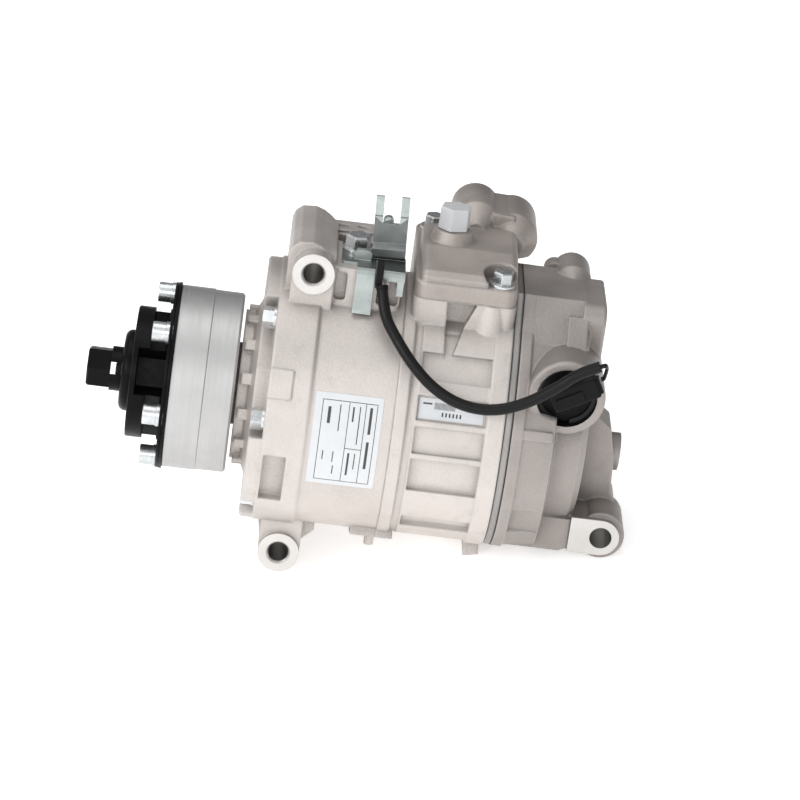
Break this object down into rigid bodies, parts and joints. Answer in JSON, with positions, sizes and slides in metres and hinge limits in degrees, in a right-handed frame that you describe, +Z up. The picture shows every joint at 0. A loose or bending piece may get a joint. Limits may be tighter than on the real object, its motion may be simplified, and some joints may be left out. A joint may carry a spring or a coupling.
{
  "type": "automotive ac compressor",
  "caption": "Clutchless variable swash-plate AC compressor with a direct-drive coupling, ribbed cast casing, top port cover, control valve and a bracketed valve cable.",
  "frame": {"origin": "centre of the drive hex's free end, on the shaft's axis", "axes": "+X along the shaft from the drive hex to the rear housing, +Z up towards the port cover, the mounting bores run along Y"},
  "size_m": [0.2478, 0.126, 0.1767],
  "materials": {
    "cast_aluminium": "sand-blasted casting",
    "drum_steel": "plated, fine turned",
    "black_coating": "black dip coating, satin",
    "zinc_screws": "bright zinc",
    "zinc_bracket": "dull greenish zinc sheet",
    "machined_steel": "ground",
    "spring_steel": "oiled spring steel",
    "plate_steel": "rolled plate",
    "piston_aluminium": "turned, coated skirt",
    "gasket_black": "coated gasket sheet",
    "valve_metal": "turned",
    "cap_plastic": "milky translucent",
    "black_plastic": "moulded, satin",
    "cable_sheath": "satin sheath",
    "label_film": "printed film"
  },
  "bodies": {
    "casing": {"bearing_inner_race": "machined_steel", "body_seal": "gasket_black", "bracket_bolt": "zinc_screws", "control_valve": "valve_metal", "cover_gasket": "gasket_black", "cover_screws": "zinc_screws", "cylinder_gasket": "gasket_black", "cylinder_housing": "cast_aluminium", "discharge_reed_plate": "spring_steel", "front_housing": "cast_aluminium", "front_needle_bearing": "machined_steel", "front_thrust_race": "machined_steel", "harness_bracket": "zinc_bracket", "harness_cable": "cable_sheath", "harness_connector": "black_plastic", "head_gasket": "gasket_black", "pistons": "piston_aluminium", "plug_wires": "cable_sheath", "port_cover": "cast_aluminium", "rating_label": "label_film", "rear_housing": "cast_aluminium", "rear_needle_bearing": "machined_steel", "seal_circlip": "spring_steel", "service_valve": "valve_metal", "shaft_seal": "gasket_black", "shoes": "machined_steel", "small_label": "label_film", "suction_reed_plate": "spring_steel", "through_bolts": "zinc_screws", "thrust_rollers": "machined_steel", "valve_circlip": "spring_steel", "valve_head": "black_plastic", "valve_plate": "plate_steel", "valve_plug": "black_plastic", "valve_seals": "gasket_black"},
    "rotor": {"drive_hex": "black_coating", "key_clips": "zinc_screws", "hub_cap": "black_coating", "coupling_spider": "black_coating", "front_drive_plate": "black_coating", "rear_drive_plate": "black_coating", "plate_spacers": "zinc_screws", "coupling_screws": "zinc_screws", "screw_washers": "zinc_screws", "drum_front_ring": "drum_steel", "drum_rear_ring": "drum_steel", "bearing_outer_race": "machined_steel", "bearing_balls": "machined_steel", "bearing_seals": "gasket_black", "shaft": "machined_steel", "lug_plate": "machined_steel", "hinge_pin": "machined_steel", "return_spring": "spring_steel", "swash_plate": "machined_steel", "shaft_stop_ring": "machined_steel", "rear_thrust_race": "machined_steel"},
    "service_cap": {"service_cap": "cap_plastic"},
    "valve_core_pin": {"valve_core_pin": "valve_metal"},
    "valve_plunger": {"valve_plunger": "machined_steel"}
  },
  "joints": [
    {"name": "shaft_spin", "type": "hinge", "parent": "casing", "child": "rotor", "pos_m": [0, 0, 0], "axis": [1, 0, 0], "continuous": true},
    {"name": "cap_pull", "type": "slide", "parent": "casing", "child": "service_cap", "axis": [0, 0, 1], "range_m": [0, 0.018]},
    {"name": "valve_core_press", "type": "slide", "parent": "casing", "child": "valve_core_pin", "axis": [0, 0, -1], "range_m": [0, 0.0015], "stiffness_N_per_m": 400, "springref_m": -0.004},
    {"name": "plunger_travel", "type": "slide", "parent": "casing", "child": "valve_plunger", "axis": [0, 1, 0], "range_m": [0, 0.0008], "stiffness_N_per_m": 300, "springref_m": -0.004}
  ]
}
